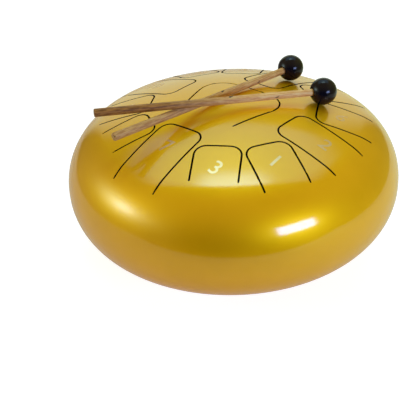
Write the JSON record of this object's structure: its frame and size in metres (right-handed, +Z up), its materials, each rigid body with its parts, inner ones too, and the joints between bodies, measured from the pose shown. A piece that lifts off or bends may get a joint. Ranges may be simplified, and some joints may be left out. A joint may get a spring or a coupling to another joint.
{
  "type": "steel tongue drum",
  "caption": "Lens-shaped steel tongue drum on rubber feet, with tuned tongues cut round its top and one in its middle, and two mallets lying across it.",
  "frame": {"origin": "on the table under the middle of the drum", "axes": "+Z up along the drum's axis, the player sits on the -Y side, +X to the player's right"},
  "size_m": [0.3048, 0.3048, 0.173],
  "materials": {
    "gold_steel": "satin gold lacquer under clear coat",
    "weld": "ground flush and lacquered with the bowls",
    "foot_rubber": "matt moulded rubber",
    "screw_steel": "zinc plated",
    "stick_wood": "plain light wood, sanded and thinly varnished",
    "head_rubber": "polished black solid rubber"
  },
  "bodies": {
    "drum": {"top_shell": "gold_steel", "bottom_shell": "gold_steel", "seam_weld": "weld", "right_foot": "foot_rubber", "back_foot": "foot_rubber", "left_foot": "foot_rubber", "front_foot": "foot_rubber", "foot_screws": "screw_steel", "foot_washers": "screw_steel", "foot_nuts": "screw_steel"},
    "tongue_01": {"tongue_01": "gold_steel"},
    "tongue_02": {"tongue_02": "gold_steel"},
    "tongue_03": {"tongue_03": "gold_steel"},
    "tongue_04": {"tongue_04": "gold_steel"},
    "tongue_05": {"tongue_05": "gold_steel"},
    "tongue_06": {"tongue_06": "gold_steel"},
    "tongue_07": {"tongue_07": "gold_steel"},
    "tongue_08": {"tongue_08": "gold_steel"},
    "tongue_09": {"tongue_09": "gold_steel"},
    "tongue_10": {"tongue_10": "gold_steel"},
    "tongue_11": {"tongue_11": "gold_steel"},
    "tongue_12": {"tongue_12": "gold_steel"},
    "tongue_centre": {"tongue_centre": "gold_steel"},
    "upper_mallet": {"upper_mallet_stick": "stick_wood", "upper_mallet_head": "head_rubber"},
    "lower_mallet": {"lower_mallet_stick": "stick_wood", "lower_mallet_head": "head_rubber"}
  },
  "joints": [
    {"name": "tongue_01_bend", "type": "hinge", "parent": "drum", "child": "tongue_01", "pos_m": [0.0653, 0.10655, 0.12461], "axis": [0.8526, -0.5225, 0], "range_deg": [-0.25, 0.25], "stiffness_Nm_per_rad": 208.7},
    {"name": "tongue_02_bend", "type": "hinge", "parent": "drum", "child": "tongue_02", "pos_m": [0.11076, 0.06014, 0.12392], "axis": [0.4772, -0.8788, 0], "range_deg": [-0.25, 0.25], "stiffness_Nm_per_rad": 237.9},
    {"name": "tongue_03_bend", "type": "hinge", "parent": "drum", "child": "tongue_03", "pos_m": [0.12602, -0.0022, 0.12392], "axis": [-0.0175, -0.9998, 0], "range_deg": [-0.25, 0.25], "stiffness_Nm_per_rad": 185.5},
    {"name": "tongue_04_bend", "type": "hinge", "parent": "drum", "child": "tongue_04", "pos_m": [0.10743, -0.06203, 0.12518], "axis": [-0.5, -0.866, 0], "range_deg": [-0.25, 0.25], "stiffness_Nm_per_rad": 248.7},
    {"name": "tongue_05_bend", "type": "hinge", "parent": "drum", "child": "tongue_05", "pos_m": [0.06017, -0.09629, 0.13012], "axis": [-0.848, -0.5299, 0], "range_deg": [-0.25, 0.25], "stiffness_Nm_per_rad": 302.5},
    {"name": "tongue_06_bend", "type": "hinge", "parent": "drum", "child": "tongue_06", "pos_m": [0.00225, -0.12891, 0.12188], "axis": [-0.9998, -0.0175, 0], "range_deg": [-0.25, 0.25], "stiffness_Nm_per_rad": 184.7},
    {"name": "tongue_07_bend", "type": "hinge", "parent": "drum", "child": "tongue_07", "pos_m": [-0.0573, -0.09925, 0.1297], "axis": [-0.866, 0.5, 0], "range_deg": [-0.25, 0.25], "stiffness_Nm_per_rad": 268.3},
    {"name": "tongue_08_bend", "type": "hinge", "parent": "drum", "child": "tongue_08", "pos_m": [-0.10164, -0.05987, 0.12837], "axis": [-0.5075, 0.8616, 0], "range_deg": [-0.25, 0.25], "stiffness_Nm_per_rad": 249.1},
    {"name": "tongue_09_bend", "type": "hinge", "parent": "drum", "child": "tongue_09", "pos_m": [-0.11902, 0.00104, 0.12788], "axis": [0.0087, 1, 0], "range_deg": [-0.25, 0.25], "stiffness_Nm_per_rad": 180.6},
    {"name": "tongue_10_bend", "type": "hinge", "parent": "drum", "child": "tongue_10", "pos_m": [-0.10033, 0.06028, 0.12873], "axis": [0.515, 0.8572, 0], "range_deg": [-0.25, 0.25], "stiffness_Nm_per_rad": 279.1},
    {"name": "tongue_11_bend", "type": "hinge", "parent": "drum", "child": "tongue_11", "pos_m": [-0.06075, 0.10111, 0.12837], "axis": [0.8572, 0.515, 0], "range_deg": [-0.25, 0.25], "stiffness_Nm_per_rad": 226.9},
    {"name": "tongue_12_bend", "type": "hinge", "parent": "drum", "child": "tongue_12", "pos_m": [0.0017, 0.12191, 0.1264], "axis": [0.9999, -0.014, 0], "range_deg": [-0.25, 0.25], "stiffness_Nm_per_rad": 146.9},
    {"name": "tongue_centre_bend", "type": "hinge", "parent": "drum", "child": "tongue_centre", "pos_m": [0.005, -0.039, 0.14893], "axis": [-1, 0, 0], "range_deg": [-0.25, 0.25], "stiffness_Nm_per_rad": 259.7},
    {"name": "upper_mallet_lift", "type": "slide", "parent": "drum", "child": "upper_mallet", "axis": [0, 0, 1], "range_m": [0, 0.15]},
    {"name": "lower_mallet_draw", "type": "slide", "parent": "drum", "child": "lower_mallet", "axis": [0.1495, 0.9887, -0.013], "range_m": [0, 0.24]}
  ]
}
